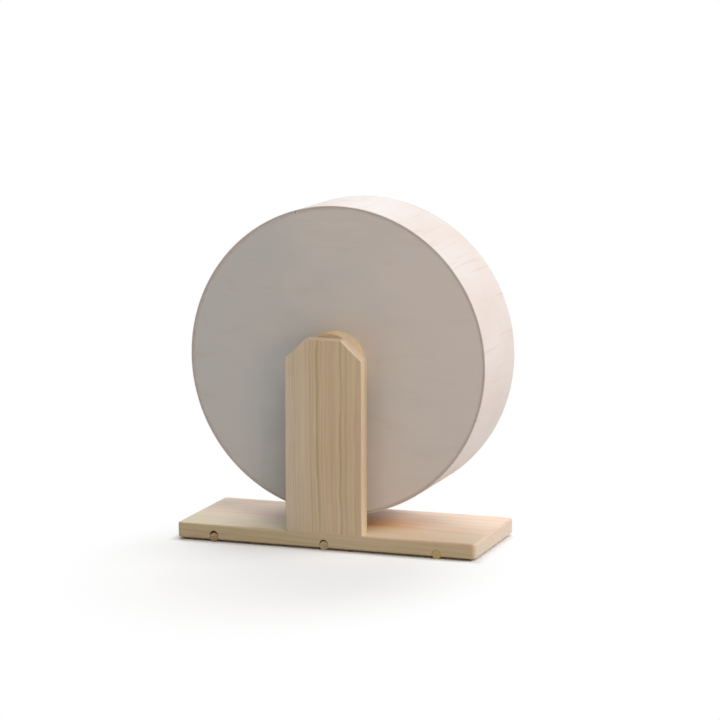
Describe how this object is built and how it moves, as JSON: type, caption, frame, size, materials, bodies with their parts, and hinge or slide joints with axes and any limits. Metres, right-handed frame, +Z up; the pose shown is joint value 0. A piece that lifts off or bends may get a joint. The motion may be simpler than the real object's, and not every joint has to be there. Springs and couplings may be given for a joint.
{
  "type": "rodent exercise wheel",
  "caption": "Wooden rodent exercise wheel: a plywood drum with an open front and closed back turns on ball bearings on a post with clipped corners, on a flat base with dowel skids.",
  "frame": {"origin": "on the floor, under the middle of the base board, on the middle skid's planed flat", "axes": "+X along the base board, +Y from the post into the drum along the axle, +Z up"},
  "size_m": [0.304, 0.132, 0.3275],
  "materials": {
    "pine": "planed and sanded, unfinished",
    "beech": "turned dowel, unfinished",
    "plywood": "sanded poplar-faced plywood",
    "bending_plywood": "bent thin plywood, sanded",
    "cork": "pressed cork sheet",
    "zinc_plated_steel": "bright zinc plate",
    "brass": "turned",
    "bearing_steel": "ground and polished",
    "pressed_steel": "pressed sheet"
  },
  "bodies": {
    "stand": {"base_board": "pine", "post": "pine", "skid_dowel_left": "beech", "skid_dowel_middle": "beech", "skid_dowel_right": "beech", "post_screws": "zinc_plated_steel", "post_dowels": "beech", "axle_insert": "brass", "axle_bolt": "zinc_plated_steel", "post_washer": "zinc_plated_steel", "race_shim": "zinc_plated_steel", "bearing_spacer": "zinc_plated_steel", "bolt_washer": "zinc_plated_steel", "post_bearing_inner_race": "bearing_steel", "drum_bearing_inner_race": "bearing_steel"},
    "wheel": {"hub_block": "pine", "inner_hub_disc": "pine", "hub_cap": "pine", "hub_screws": "zinc_plated_steel", "back_disc": "plywood", "front_ring": "plywood", "rim": "bending_plywood", "rim_seam_strip": "bending_plywood", "cork_liner": "cork", "post_bearing_outer_race": "bearing_steel", "post_bearing_shields": "pressed_steel", "drum_bearing_outer_race": "bearing_steel", "drum_bearing_shields": "pressed_steel"},
    "post_bearing_train": {"post_bearing_balls": "bearing_steel", "post_bearing_cage": "pressed_steel"},
    "drum_bearing_train": {"drum_bearing_balls": "bearing_steel", "drum_bearing_cage": "pressed_steel"}
  },
  "joints": [
    {"name": "wheel_spin", "type": "hinge", "parent": "stand", "child": "wheel", "pos_m": [0, -0.026, 0.1775], "axis": [0, 1, 0], "continuous": true},
    {"name": "post_bearing_roll", "type": "hinge", "parent": "stand", "child": "post_bearing_train", "pos_m": [0, -0.026, 0.1775], "axis": [0, 1, 0], "continuous": true},
    {"name": "drum_bearing_roll", "type": "hinge", "parent": "stand", "child": "drum_bearing_train", "pos_m": [0, -0.026, 0.1775], "axis": [0, 1, 0], "continuous": true}
  ],
  "couplings": [
    {"joint": "post_bearing_roll", "follows": "wheel_spin", "ratio": 0.63233},
    {"joint": "drum_bearing_roll", "follows": "wheel_spin", "ratio": 0.63233}
  ]
}
